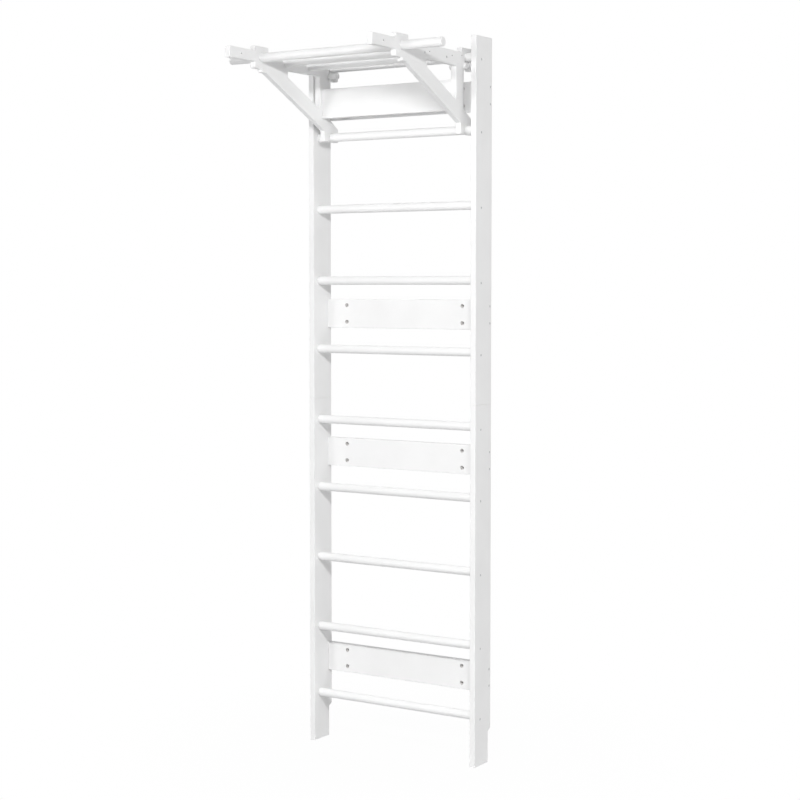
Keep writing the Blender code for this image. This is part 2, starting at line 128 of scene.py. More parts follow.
def add_bump(tree, height, strength, relief, shader):
    bump = tree.nodes.new("ShaderNodeBump")
    bump.inputs["Strength"].default_value = strength
    bump.inputs["Distance"].default_value = relief
    link(tree, height, bump.inputs["Height"])
    link(tree, bump.outputs["Normal"], shader.inputs["Normal"])


# %% [markdown]
# ## White satin paint over wood
# The whole ladder is sprayed white. Close up, a thin coat still shows the wood: faint ridges along
# the grain, a slightly uneven film, and edges where the coat is thinner. A flat white would hide all
# of that, and a picture of wood would repeat and fit only one size. So three noises do it. One is
# stretched along the grain, one is broad and changes the tone a little, and one is a fine orange
# peel. The grain direction is a scale: a small number along one axis draws the noise out that way.
# Two marks on a piece's mesh steer the paint. "rounding" lets wear through at eased edges, in spots
# that a fourth noise picks. The other mark turns the coat inside the wall holes to a grey wood tone:
# painted shade, standing in for the dark of a recess.

# %% Numbers for the paint
ALONG_X = (0.035, 1.0, 1.0)
ALONG_Y = (1.0, 0.035, 1.0)
ALONG_Z = (1.0, 1.0, 0.035)
# Each noise has a scale, a detail and a roughness.
GRAIN = (420.0, 5.0, 0.6)      # ridges about 2 mm apart
CLOUDS = (7.0, 3.0, 0.5)       # tones that wander over a hand's length
PEEL = (900.0, 2.0, 0.5)       # orange peel of about a millimetre
SPOTS = (60.0, 4.0, 0.6)       # worn spots of 1 to 2 cm
# This part of a noise is stretched to full contrast.
PORE_RANGE = (0.60, 0.78)
CLOUD_RANGE = (0.35, 0.65)
SPOT_RANGE = (0.52, 0.68)
SHEEN_RANGE = (0.3, 0.7)
THIN_COAT = 0.965              # how bright the thinner patches of paint stay
PORE_COAT = 0.93               # and the paint in the pores
MOST_WEAR = 0.35               # how much of the wood a worn edge lets through
WORN_EDGE = (0.70, 0.68, 0.65)
# The next two tones are painted shade: a grey wood tone for the inside of the wall holes, in place of
# the dark of the recess.
PAINTED_HOLE_SHADE = (0.63, 0.62, 0.61)
PAINTED_HOLE_SHADE_PORES = (0.55, 0.54, 0.53)
SHINIER = 0.05                 # how far the roughness wanders below a paint's own
DULLER = 0.08                  # and above it
PEEL_SHARE = 0.3               # height of the orange peel against the grain's
PAINT_BUMP = 0.35
PAINT_RELIEF = 0.00018
ridge_width = 1000 / GRAIN[0]
print("ridges in mm:", round(ridge_width, 1), "wide,", round(ridge_width / ALONG_X[0]), "long")


# %% Six white paints
def grey(tone):
    return (tone, tone, tone)


def darker(colour, share):
    return tuple(share * part for part in colour)


def painted_wood(name, white, stretch, gloss):
    """White paint with the grain of the wood under it. stretch gives the grain's direction."""
    made, tree, paint = new_finish(name)
    place = add_place(tree)
    mapping = tree.nodes.new("ShaderNodeMapping")
    mapping.inputs["Scale"].default_value = stretch
    link(tree, place, mapping.inputs["Vector"])
    grain = add_noise(tree, mapping.outputs["Vector"], *GRAIN)
    pores = add_range(tree, grain, *PORE_RANGE)
    clouds = add_range(tree, add_noise(tree, place, *CLOUDS), *CLOUD_RANGE)
    coat = add_blend(tree, clouds, white, darker(white, THIN_COAT))
    coat = add_blend(tree, pores, coat, darker(white, PORE_COAT))
    spots = add_range(tree, add_noise(tree, place, *SPOTS), *SPOT_RANGE, 0.0, MOST_WEAR)
    wear = add_math(tree, "MULTIPLY", add_mark(tree, "rounding"), spots)
    coat = add_blend(tree, wear, coat, WORN_EDGE)
    # Painted shade: inside the wall holes the coat turns to this grey wood tone, which stands for the
    # dark of the recess.
    wood = add_blend(tree, pores, PAINTED_HOLE_SHADE, PAINTED_HOLE_SHADE_PORES)
    link(tree, add_blend(tree, add_mark(tree, "bare"), coat, wood), paint.inputs["Base Color"])
    sheen = add_range(tree, grain, *SHEEN_RANGE, gloss - SHINIER, gloss + DULLER)
    link(tree, sheen, paint.inputs["Roughness"])
    height = add_math(tree, "MULTIPLY_ADD", add_noise(tree, place, *PEEL), PEEL_SHARE, grain)
    add_bump(tree, height, PAINT_BUMP, PAINT_RELIEF, paint)
    return made


UPRIGHT_PAINT = painted_wood("upright_satin_paint", grey(0.86), ALONG_Z, gloss=0.42)
RUNG_PAINT = painted_wood("rung_satin_paint", grey(0.88), ALONG_X, gloss=0.36)
BOARD_PAINT = painted_wood("board_matt_paint", grey(0.86), ALONG_X, gloss=0.5)
PLATE_PAINT = painted_wood("pullup_plate_paint", grey(0.87), ALONG_Y, gloss=0.42)
BAR_PAINT = painted_wood("pullup_bar_paint", grey(0.87), ALONG_X, gloss=0.38)
CROSS_PAINT = painted_wood("pullup_board_paint", grey(0.86), ALONG_X, gloss=0.45)
print("paints:", [made.name for made in bpy.data.materials if made.name.endswith("paint")])

# %% [markdown]
# ## Steel for the screws and pins
# The screws are zinc-plated. They are small, so a plain dark mirror would read as a hole. Real
# plating is pale, a little dull and streaked, so the roughness follows a fine noise and the colour
# wanders slightly. The smaller pins in the side plates are blackened, by the same nodes in a
# darker tone.

# %% Two steel finishes
STREAKS = (1800.0, 3.0, 0.6)   # about half a millimetre apart
STREAK_COAT = 0.8              # how bright the darker streaks stay
STEEL_SHEEN = (0.28, 0.45)     # the roughness of the shiniest and of the dullest streaks
STEEL_BUMP = 0.3
STEEL_RELIEF = 0.0001


def plated_steel(name, tone):
    made, tree, steel = new_finish(name)
    steel.inputs["Metallic"].default_value = 1.0
    streak = add_noise(tree, add_place(tree), *STREAKS)
    tones = add_blend(
        tree, add_range(tree, streak, *CLOUD_RANGE), tone, darker(tone, STREAK_COAT))
    link(tree, tones, steel.inputs["Base Color"])
    link(tree, add_range(tree, streak, *SHEEN_RANGE, *STEEL_SHEEN), steel.inputs["Roughness"])
    add_bump(tree, streak, STEEL_BUMP, STEEL_RELIEF, steel)
    return made


SCREW_STEEL = plated_steel("zinc_plated_steel", (0.66, 0.66, 0.67))
PIN_STEEL = plated_steel("blackened_steel", grey(0.10))
print("steels:", SCREW_STEEL.name, PIN_STEEL.name)

# %% [markdown]
# ## Shaping a piece
# Every piece starts in a bmesh, Blender's mesh for building in. A machined edge is never quite
# sharp, so its edges get a small bevel of several segments, which catches the light as a real
# rounding does. The points inside a rounding are marked, and the paint wears thin there. The shape
# then becomes a mesh whose object stays at the origin, because the CAD's own objects do.

# %% Start, round and keep a shape
MERGE = 1e-6                   # points closer than this are one point
ROUND_STEPS = 4


def new_shape():
    shape = bmesh.new()
    shape.verts.layers.float.new("rounding")
    return shape


def round_off(shape, edges, radius, steps=ROUND_STEPS):
    """Rounds edges, and marks the points that lie inside the rounding."""
    made = bmesh.ops.bevel(
        shape, geom=edges, offset=radius, segments=steps, profile=0.5, affect="EDGES",
        material=-1)
    rounds = set(made["faces"])
    layer = shape.verts.layers.float["rounding"]
    for vert in shape.verts:
        if vert.link_faces and all(face in rounds for face in vert.link_faces):
            vert[layer] = 1.0


def to_mesh(name, shape):
    bmesh.ops.remove_doubles(shape, verts=shape.verts[:], dist=MERGE)
    bmesh.ops.recalc_face_normals(shape, faces=shape.faces[:])
    mesh = bpy.data.meshes.new(name)
    shape.to_mesh(mesh)
    shape.free()
    return mesh


def new_object(name, mesh):
    made = bpy.data.objects.new(name, mesh)
    bpy.context.scene.collection.objects.link(made)
    return made


print("a rounding has", ROUND_STEPS, "segments")

# %% [markdown]
# ## Boring and finishing a piece
# Holes could be modelled face by face. A Boolean is simpler: a closed cutter is taken out of the
# piece, last of all, so that the rims stay crisp. The result of each modifier is kept as a plain
# mesh. Then the piece gets its finish, smooth shading that stops at sharp edges, and weighted
# normals, which keep wide faces flat beside thin bevels. Last it is told which body it rides on and
# which CAD nodes it stands for.

# %% Bore a piece and hand it over
CREASE = math.radians(35)      # edges sharper than this stay sharp


def settle(piece):
    """Makes what a piece's modifiers do part of its mesh."""
    done = bpy.data.meshes.new_from_object(
        piece.evaluated_get(bpy.context.evaluated_depsgraph_get()))
    piece.modifiers.clear()
    piece.data = done
    done.name = piece.name


def bore(piece, cutter_shape):
    """Takes the closed shapes in a bmesh out of a piece."""
    cutter = new_object("cutter", to_mesh("cutter", cutter_shape))
    hole = piece.modifiers.new("bore", "BOOLEAN")
    hole.operation = "DIFFERENCE"
    hole.solver = "EXACT"
    hole.object = cutter
    settle(piece)
    bpy.data.objects.remove(cutter)


def hand_over(piece, finish, body, nodes=()):
    """Gives a piece its finish, its body and the CAD nodes that it stands for."""
    piece.data.materials.clear()
    piece.data.materials.append(finish)
    piece.data.shade_smooth()
    piece.data.set_sharp_from_angle(angle=CREASE)
    flat = piece.modifiers.new("flat_faces", "WEIGHTED_NORMAL")
    flat.keep_sharp = True
    settle(piece)
    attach(piece, body)
    if nodes:
        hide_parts(*nodes)


print("edges over", round(math.degrees(CREASE)), "degrees stay sharp")

# %% [markdown]
# ## Round bars
# Rungs, pull-up bars and pegs are all dowels: planed round stock, cut to length, with the ends eased
# so that they slip into their sockets. A profile could be spun for each. A cone operator with two
# equal radii gives the same blank in one step, and a bevel on its two end rims gives the easing.

# %% Blanks for dowels
DOWEL_SIDES = 64
TURN_TO_X = Matrix.Rotation(math.pi / 2, 4, "Y")


def run_in_x(edge):
    """How far an edge runs along X."""
    return abs(edge.verts[0].co.x - edge.verts[1].co.x)


def add_dowel(shape, low_x, high_x, y, z, radius, sides=DOWEL_SIDES):
    """Adds a plain cylinder along X."""
    matrix = Matrix.Translation(((low_x + high_x) / 2, y, z)) @ TURN_TO_X
    bmesh.ops.create_cone(
        shape, cap_ends=True, segments=sides, radius1=radius, radius2=radius,
        depth=abs(high_x - low_x), matrix=matrix)


def dowel(node, ease):
    """A dowel of the CAD node's place and size, with eased ends."""
    low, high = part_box(node)
    centre = (low + high) / 2
    shape = new_shape()
    add_dowel(shape, low.x, high.x, centre.y, centre.z, (high.z - low.z) / 2)
    rims = [edge for edge in shape.edges if run_in_x(edge) < MERGE]
    round_off(shape, rims, ease)
    return new_object(node + "_turned", to_mesh(node, shape))


print("a dowel has", DOWEL_SIDES, "sides")

# %% [markdown]
# ## Countersunk screws
# A screw locks each rung and each inner bar from the outside, and two more hold each end of a wall
# board. Only the head shows: a flat disc with a hexagonal recess, a hair below the paint. A lathe
# would turn it, so a profile is spun round its axis, and a six-sided bore makes the recess. The wood
# is bored for it with the same profile, a little larger.

# %% Turn a profile
TURN_STEPS = 24


def add_turned(shape, profile, matrix, steps=TURN_STEPS):
    """Spins (x, radius) points round the X axis and moves the result into place."""
    before = set(shape.verts)
    points = [shape.verts.new((x, 0.0, radius)) for x, radius in profile]
    edges = [shape.edges.new(pair) for pair in zip(points, points[1:])]
    bmesh.ops.spin(
        shape, geom=points + edges, cent=(0, 0, 0), axis=(1, 0, 0), angle=2 * math.pi,
        steps=steps, use_merge=True)
    fresh = [vert for vert in shape.verts if vert not in before]
    bmesh.ops.transform(shape, matrix=matrix, verts=fresh)


def facing(side, x, y, z):
    """Places what points inwards from an outer face. side is -1 on the left and 1 on the right."""
    turn = Matrix.Rotation(0 if side > 0 else math.pi, 4, "Z")
    return Matrix.Translation((x, y, z)) @ turn


print("a screw is turned in", TURN_STEPS, "steps")

# %% One screw and its hole
GAP = 0.0003                   # left between pieces that touch
HEAD_RADIUS = 0.004
HEAD_DEPTH = 0.0022
HEAD_EASE = 0.0002
SHANK_RADIUS = 0.002
SCREW_LENGTH = 0.030
RECESS_RADIUS = 0.0017
RECESS_DEPTH = 0.0014
RECESS_SIDES = 6


def add_screw_hole(shape, matrix):
    """Adds a cutter that stands out of the wood and is a gap wider than the screw."""
    add_turned(shape, [
        (3 * GAP, 0.0), (3 * GAP, HEAD_RADIUS + GAP), (-GAP, HEAD_RADIUS + GAP),
        (-HEAD_DEPTH - GAP, SHANK_RADIUS + GAP), (-SCREW_LENGTH - GAP, SHANK_RADIUS + GAP),
        (-SCREW_LENGTH - GAP, 0.0)], matrix)


def screw(name, matrix, body, nodes=()):
    shape = new_shape()
    add_turned(shape, [
        (0.0, 0.0), (0.0, HEAD_RADIUS - HEAD_EASE), (-HEAD_EASE, HEAD_RADIUS),
        (-HEAD_DEPTH, SHANK_RADIUS), (-SCREW_LENGTH + SHANK_RADIUS, SHANK_RADIUS),
        (-SCREW_LENGTH, 0.0)], matrix)
    made = new_object(name, to_mesh(name, shape))
    recess = new_shape()
    bmesh.ops.create_cone(
        recess, cap_ends=True, segments=RECESS_SIDES, radius1=RECESS_RADIUS,
        radius2=RECESS_RADIUS, depth=2 * RECESS_DEPTH, matrix=matrix @ TURN_TO_X)
    bore(made, recess)
    hand_over(made, SCREW_STEEL, body, nodes)


print("screw in mm:", round(2000 * HEAD_RADIUS), "wide,", round(1000 * SCREW_LENGTH), "long")

# %% [markdown]
# ## Screws for the rungs
# Each rung is held from turning by one screw at each end, driven in through the upright. The CAD
# gives the height and depth of each one. Its place is kept by name, because the same place bores the
# rung and the upright further on.

# %% Put in the rung screws
SIDES = {"left": -1, "right": 1}
RUNG_NUMBERS = range(1, 11)
UPRIGHT_OUTER_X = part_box("upright_right_lower")[1].x
rung_screws = {}


def middle(node):
    low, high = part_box(node)
    return (low + high) / 2


for side_name, side in SIDES.items():
    for number in RUNG_NUMBERS:
        node = "rung_screw_%s_%02d" % (side_name, number)
        centre = middle(node)
        rung_screws[node] = facing(side, side * (UPRIGHT_OUTER_X - GAP), centre.y, centre.z)
        screw(node + "_head", rung_screws[node], "ladder", [node])
print("rung screws:", len(rung_screws))

# %% [markdown]
# ## Ten rungs
# Each rung is a 28 mm dowel that carries a whole body's weight at its middle, so it runs right
# through from socket to socket. Its ends are bored from the uprights' outer faces for the screws.

# %% Make the rungs
RUNG_EASE = 0.001

for number in RUNG_NUMBERS:
    node = "rung_%02d" % number
    rung = dowel(node, RUNG_EASE)
    holes = new_shape()
    for side_name in SIDES:
        add_screw_hole(holes, rung_screws["rung_screw_%s_%02d" % (side_name, number)])
    bore(rung, holes)
    hand_over(rung, RUNG_PAINT, "ladder", [node])
print("rungs at mm:", [round(1000 * middle("rung_%02d" % number).z) for number in RUNG_NUMBERS])

# %% [markdown]
# ## Boards
# Four wall boards brace the ladder and carry the wall screws, and a fifth board of the same stock
# joins the posts of the pull-up frame, where it hides the top one. A board is a plank through a
# planer, so it starts as a cube of the right size, and its long edges are rounded.

# %% Plane the boards
BOARD_ROUND = 0.0015


def planed_board(node):
    """A board of the CAD node's size, with its long edges rounded."""
    low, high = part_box(node)
    shape = new_shape()
    bmesh.ops.create_cube(
        shape, size=1.0,
        matrix=Matrix.Translation((low + high) / 2) @ Matrix.Diagonal((*(high - low), 1.0)))
    long_edges = [edge for edge in shape.edges if run_in_x(edge) > 2 * MERGE]
    round_off(shape, long_edges, BOARD_ROUND)
    return new_object(node + "_planed", to_mesh(node, shape))


hand_over(planed_board("pullup_cross_board"), CROSS_PAINT, "pullup_frame",
          ["pullup_cross_board"])
low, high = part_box("pullup_cross_board")
print("cross board in mm:", [round(1000 * side) for side in high - low])

# %% [markdown]
# ## Holes in the wall boards
# Each wall board has four counterbored holes for the screws that hold the ladder to the wall. A spun
# profile with a step in it cuts sink and hole in one go. The faces inside them are marked, and the
# paint turns them grey there: painted shade, so that the holes show as grey dots.

# %% A wall hole and its painted shade
SINK_RADIUS = 0.0065
SINK_DEPTH = 0.006
WALL_HOLE_RADIUS = 0.0035
WALL_HOLE_REACH = 0.020        # a millimetre more than the board's thickness
WALL_HOLE_STEPS = 40
CUTTER_LEAD = 0.001            # how far a cutter stands out of the wood
FROM_THE_FRONT = Matrix.Rotation(-math.pi / 2, 4, "Z")


def add_wall_hole(shape, mouth):
    """Adds the cutter of a stepped hole, whose mouth is in the board's front face."""
    add_turned(shape, [
        (CUTTER_LEAD, 0.0), (CUTTER_LEAD, SINK_RADIUS), (-SINK_DEPTH, SINK_RADIUS),
        (-SINK_DEPTH, WALL_HOLE_RADIUS), (-WALL_HOLE_REACH, WALL_HOLE_RADIUS),
        (-WALL_HOLE_REACH, 0.0)], Matrix.Translation(mouth) @ FROM_THE_FRONT, WALL_HOLE_STEPS)


def mark_bare(board, mouths):
    """Marks the faces inside the wall holes, where the paint puts a grey tone as painted shade."""
    marks = board.data.attributes.new("bare", "FLOAT", "FACE")
    for face in board.data.polygons:
        if any(math.hypot(face.center.x - mouth.x, face.center.z - mouth.z) < SINK_RADIUS
               for mouth in mouths):
            marks.data[face.index].value = 1.0


print("wall holes in mm:", round(2000 * SINK_RADIUS), "then", round(2000 * WALL_HOLE_RADIUS))

# %% [markdown]
# ## Wall boards
# A board lies between the uprights, and two screws enter each of its ends from outside. So one set
# of cutters bores both its wall holes and its ends, and the screws themselves go in afterwards.

# %% Make the wall boards
WALL_HOLE_INSET = 0.077        # from an upright's inner face to a wall hole's axis
WALL_HOLE_SPREAD = 0.055       # between the upper and the lower wall hole
END_SCREW_SPREAD = 0.054       # between the two screws in a board's end
LEVELS = {"lower": -0.5, "upper": 0.5}
board_screws = {}

for number in range(1, 5):
    node = "wall_board_%d" % number
    low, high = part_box(node)
    centre = (low + high) / 2
    holes = new_shape()
    mouths = []
    for side_name, side in SIDES.items():
        for level_name, level in LEVELS.items():
            name = "board_screw_%s_%d_%s" % (side_name, number, level_name)
            board_screws[name] = facing(
                side, side * (UPRIGHT_OUTER_X - GAP), centre.y,
                centre.z + level * END_SCREW_SPREAD)
            add_screw_hole(holes, board_screws[name])
            mouths.append(Vector((
                side * (high.x + GAP - WALL_HOLE_INSET), low.y,
                centre.z + level * WALL_HOLE_SPREAD)))
            add_wall_hole(holes, mouths[-1])
    board = planed_board(node)
    bore(board, holes)
    hand_over(board, BOARD_PAINT, "ladder", [node])
    mark_bare(board, mouths)
for name, matrix in board_screws.items():
    screw(name, matrix, "ladder")
print("board screws:", len(board_screws))

# %% [markdown]
# ## Uprights
# Each side is two lengths of 19 mm board, butted at half height, and the lower one is notched at the
# back so that it passes a skirting board. A few corner points give the outline, an extrusion gives
# the thickness, and the long edges are rounded as a router would do it. The butt ends are only
# broken lightly, which leaves the fine line that shows where two lengths meet.

# %% Shape an upright length
UPRIGHT_ROUND = 0.0015
BUTT_ROUND = 0.0004
BUTT_STEPS = 2
NOTCH_DEPTH = 0.016
NOTCH_HEIGHT = 0.100
NOTCH_SLANT = 0.009
JOINT_Z = (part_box("upright_left_lower")[1].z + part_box("upright_left_upper")[0].z) / 2


def push_in_x(shape, thickness):
    """Extrudes a flat shape along X."""
    pushed = bmesh.ops.extrude_face_region(shape, geom=shape.faces[:])["geom"]
    bmesh.ops.translate(
        shape, vec=(thickness, 0, 0),
        verts=[part for part in pushed if isinstance(part, bmesh.types.BMVert)])
    bmesh.ops.recalc_face_normals(shape, faces=shape.faces[:])


def butt_edges(shape):
    """The edges round the end where the two lengths meet."""
    return [edge for edge in shape.edges
            if all(abs(vert.co.z - JOINT_Z) < 2 * GAP for vert in edge.verts)]


def planed_length(node, notched):
    """One length of an upright, with or without the notch for the skirting board."""
    low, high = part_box(node)
    corners = [(low.y, low.z), (high.y, low.z), (high.y, high.z), (low.y, high.z)]
    if notched:
        corners[1:2] = [
            (-NOTCH_DEPTH, low.z), (-NOTCH_DEPTH, NOTCH_HEIGHT),
            (high.y, NOTCH_HEIGHT + NOTCH_SLANT)]
    shape = new_shape()
    shape.faces.new([shape.verts.new((low.x, y, z)) for y, z in corners])
    push_in_x(shape, high.x - low.x)
    butt = butt_edges(shape)
    outline = [edge for edge in shape.edges if edge not in butt and run_in_x(edge) < MERGE]
    round_off(shape, outline, UPRIGHT_ROUND)
    round_off(shape, butt_edges(shape), BUTT_ROUND, BUTT_STEPS)
    return new_object(node + "_planed", to_mesh(node, shape))


print("the lengths meet at mm:", round(1000 * JOINT_Z))

# %% [markdown]
# ## Boring the uprights
# Each length is bored twice. The first round takes the screw holes of the rungs, and the second the
# blind sockets that those holes run into, so that no two cutters of one round cross.

# %% Make the uprights
BAR_RADIUS = 0.014             # of rungs and pull-up bars alike
SOCKET_DEPTH = 0.012

for side_name, side in SIDES.items():
    for length_name in ("lower", "upper"):
        node = "upright_%s_%s" % (side_name, length_name)
        low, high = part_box(node)
        inner_x = min(abs(low.x), abs(high.x))
        upright = planed_length(node, notched=length_name == "lower")
        screw_holes = new_shape()
        sockets = new_shape()
        for number in RUNG_NUMBERS:
            centre = middle("rung_%02d" % number)
            if low.z < centre.z < high.z:
                add_dowel(
                    sockets, side * (inner_x - SOCKET_DEPTH), side * (inner_x + SOCKET_DEPTH),
                    centre.y, centre.z, BAR_RADIUS + GAP)
                add_screw_hole(
                    screw_holes, rung_screws["rung_screw_%s_%02d" % (side_name, number)])
        for name, matrix in board_screws.items():
            if side_name in name and low.z < matrix.translation.z < high.z:
                add_screw_hole(sockets, matrix)
        bore(upright, screw_holes)
        bore(upright, sockets)
        hand_over(upright, UPRIGHT_PAINT, "ladder", [node])
        print(node, "in mm:", [round(1000 * extent) for extent in high - low])

# %% [markdown]
# ## Side plates of the pull-up frame
# Each side plate is one board, sawn to a triangle: a long arm with a square pad round the front bar,
# a hook that saddles the top rung, a post, a slanting brace, and a foot that saddles the next rung.
# Points traced by eye would have to be moved one by one when a rung moves. So the plate's sizes are
# counted from the axes of the rungs and of the bar that it holds.

# %% Sizes of a side plate
SLOT_RADIUS = BAR_RADIUS + GAP
PAD = 0.035                    # half the square pad round the front bar, and half the hook's height
ARM_ABOVE = 0.020              # the arm above the bars' axes
FRONT_ARM_BELOW = 0.0145       # and below them, in front of the pad
REAR_ARM_BELOW = 0.0255        # and behind it
HOOK_JAW = 0.0202              # wood in front of the top rung's slot
HOOK_LIP = 0.0212              # wood behind both slots
POST_SETBACK = 0.0077          # from a slot forward to the post's back
POST_DEPTH = 0.048
FOOT_JAW = 0.0267              # wood in front of the second rung's slot
FOOT_BELOW = 0.014             # the foot below the second rung's axis
FOOT_RISE = 0.020              # the foot's front corner above that axis
TAIL_RISE = 0.029              # and its back corner
BRACE_WIDTH = 0.049
BRACE_DROP = 0.0336            # the brace's lower edge below the front bar's axis
TOE_DROP = 0.0095              # the brace's toe below the pad
WINDOW_SETBACK = 0.137         # from the front bar's axis to the window's front edge

top_rung = middle("rung_10")
second_rung = middle("rung_09")
front_bar = middle("pullup_bar_front")
slot_front = top_rung.y - SLOT_RADIUS
slot_back = top_rung.y + SLOT_RADIUS
arm_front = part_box("pullup_side_right")[0].y
print("hook's slot in mm:", round(2000 * SLOT_RADIUS, 1))

# %% [markdown]
# ## The lines of a side plate
# From those sizes come the heights and depths that several corners share. The brace runs straight
# from below the front bar to the foot's front corner, so its two edges are functions of depth.

# %% Heights, depths and the brace
arm_top = front_bar.z + ARM_ABOVE
arm_under = front_bar.z - FRONT_ARM_BELOW
pad_top = front_bar.z + PAD
pad_bottom = front_bar.z - PAD
pad_front = front_bar.y - PAD
pad_back = front_bar.y + PAD
hook_front = slot_front - HOOK_JAW
hook_back = slot_back + HOOK_LIP
post_back = slot_front - POST_SETBACK
post_front = post_back - POST_DEPTH
foot_front = slot_front - FOOT_JAW
foot_bottom = second_rung.z - FOOT_BELOW
foot_corner = second_rung.z + FOOT_RISE
toe_bottom = pad_bottom - TOE_DROP
window_front = front_bar.y + WINDOW_SETBACK
window_top = front_bar.z - REAR_ARM_BELOW
brace_start = front_bar.z - BRACE_DROP
brace_slope = (foot_corner - brace_start) / (foot_front - front_bar.y)
brace_height = BRACE_WIDTH * math.hypot(1.0, brace_slope)


def brace_under(y):
    return brace_start + brace_slope * (y - front_bar.y)


def brace_top(y):
    return brace_under(y) + brace_height


print("brace falls", round(math.degrees(math.atan(-brace_slope)), 1), "degrees")

# %% [markdown]
# ## The outline of a side plate
# The outline is a list of corners, each with its own radius. A slot for a rung is a rectangle whose
# two upper corners are rounded until they all but meet, which makes a half circle. The window
# between arm, post and brace is a loop of its own.

# %% Lay out the corners
PAD_ROUND = 0.005
WINDOW_ROUND = 0.005
SLOT_ROUND = SLOT_RADIUS - 0.00002


def slot_corners(rung_z, from_z):
    """A rung slot, open at the bottom, from its back edge to its front edge."""
    return [
        (slot_back, from_z, 0), (slot_back, rung_z + SLOT_RADIUS, SLOT_ROUND),
        (slot_front, rung_z + SLOT_RADIUS, SLOT_ROUND), (slot_front, from_z, 0)]


plate_outline = [
    (arm_front, arm_under, 0), (arm_front, arm_top, 0),
    (pad_front, arm_top, 0), (pad_front, pad_top, PAD_ROUND),
    (pad_back, pad_top, PAD_ROUND), (pad_back, arm_top, 0),
    (hook_front, arm_top, 0), (hook_front, pad_top, 0),
    (hook_back, pad_top, PAD_ROUND), (hook_back, pad_bottom, PAD_ROUND),
    *slot_corners(top_rung.z, pad_bottom),
    (post_back, pad_bottom, 0), (post_back, brace_top(post_back), 0),
    (hook_back, second_rung.z + TAIL_RISE, 0), (hook_back, foot_bottom, 0),
    *slot_corners(second_rung.z, foot_bottom),
    (foot_front, foot_bottom, 0), (foot_front, foot_corner, 0),
    (front_bar.y + (toe_bottom - brace_start) / brace_slope, toe_bottom, 0),
    (front_bar.y, toe_bottom, 0), (front_bar.y, pad_bottom, 0),
    (pad_front, pad_bottom, PAD_ROUND), (pad_front, arm_under, 0)]
plate_window = [
    (window_front, window_top, WINDOW_ROUND), (post_front, window_top, WINDOW_ROUND),
    (post_front, brace_top(post_front), WINDOW_ROUND),
    (window_front, brace_top(window_front), WINDOW_ROUND)]
print("corners:", len(plate_outline), "and", len(plate_window))

# %% [markdown]
# ## Sawing the plates
# The two loops are drawn as faces only so that their corners can be rounded, each by a bevel of its
# point. Then the faces go, the edges stay, and one fill spans the outline and leaves the window
# open. The flat shape is extruded, and the edges of both its faces are rounded all the way round.

# %% Saw and round a plate
PLATE_ROUND = 0.0025
CORNER_STEPS = 8
SMALL_STEP = 0.00005           # shorter than any edge that is wanted
FLAT = math.radians(1)
SHARP = math.radians(60)


def add_loop(shape, corners):
    """Adds a closed loop, with some of its corners rounded."""
    points = [shape.verts.new((0.0, y, z)) for y, z, radius in corners]
    shape.faces.new(points)
    for point, (y, z, radius) in zip(points, corners):
        if radius:
            bmesh.ops.bevel(
                shape, geom=[point], offset=radius, segments=CORNER_STEPS, profile=0.5,
                affect="VERTICES", material=-1)


def side_plate(name, low_x, high_x):
    shape = new_shape()
    add_loop(shape, plate_outline)
    add_loop(shape, plate_window)
    bmesh.ops.delete(shape, geom=shape.faces[:], context="FACES_ONLY")
    bmesh.ops.remove_doubles(shape, verts=shape.verts[:], dist=SMALL_STEP)
    bmesh.ops.triangle_fill(shape, edges=shape.edges[:], use_beauty=True)
    bmesh.ops.translate(shape, vec=(low_x, 0, 0), verts=shape.verts[:])
    push_in_x(shape, high_x - low_x)
    bmesh.ops.dissolve_limit(
        shape, angle_limit=FLAT, verts=shape.verts[:], edges=shape.edges[:])
    rims = [edge for edge in shape.edges
            if run_in_x(edge) < MERGE and edge.calc_face_angle() > SHARP]
    round_off(shape, rims, PLATE_ROUND)
    return new_object(name, to_mesh(name, shape))


print("edges are rounded by mm:", 1000 * PLATE_ROUND)

# %% [markdown]
# ## What is bored in a plate
# The front bar, the peg and a small hole near the arm's end go right through. The two inner bars sit
# in blind sockets. Three pins of unknown use show on the outside, a little sunk. Each kind of hole
# is a small function that adds its cutters to one shape.

# %% Cutters for a plate
PEG_RADIUS = 0.010
INNER_BARS = ("middle", "rear")
BAR_CUTTER_REACH = 0.020       # how far a socket's cutter starts inside the bar's end
ARM_HOLE_RADIUS = 0.003
ARM_HOLE_SETBACK = 0.059       # from the arm's front end
ARM_HOLE_RISE = 0.002          # above the bars' axes
PIN_PLACES = [(-0.2913, 2.2296), (-0.1597, 2.2327), (-0.1005, 2.2395)]
PIN_HOLE_RADIUS = 0.0021
PIN_HOLE_DEPTH = 0.0006
PLATE_OUTER_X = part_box("pullup_side_right")[1].x


def add_through_holes(shape, low_x, high_x, peg):
    ends = (low_x - GAP, high_x + GAP)
    add_dowel(shape, *ends, front_bar.y, front_bar.z, BAR_RADIUS + GAP)
    add_dowel(shape, *ends, peg.y, peg.z, PEG_RADIUS + GAP)
    add_dowel(shape, *ends, arm_front + ARM_HOLE_SETBACK, front_bar.z + ARM_HOLE_RISE,
              ARM_HOLE_RADIUS, TURN_STEPS)


def add_bar_sockets(shape, side):
    for bar_name in INNER_BARS:
        node = "pullup_bar_" + bar_name
        bar_low, bar_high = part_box(node)
        end_x = bar_high.x if side > 0 else bar_low.x
        add_dowel(shape, side * (abs(end_x) - BAR_CUTTER_REACH), end_x + side * GAP,
                  middle(node).y, front_bar.z, BAR_RADIUS + GAP)


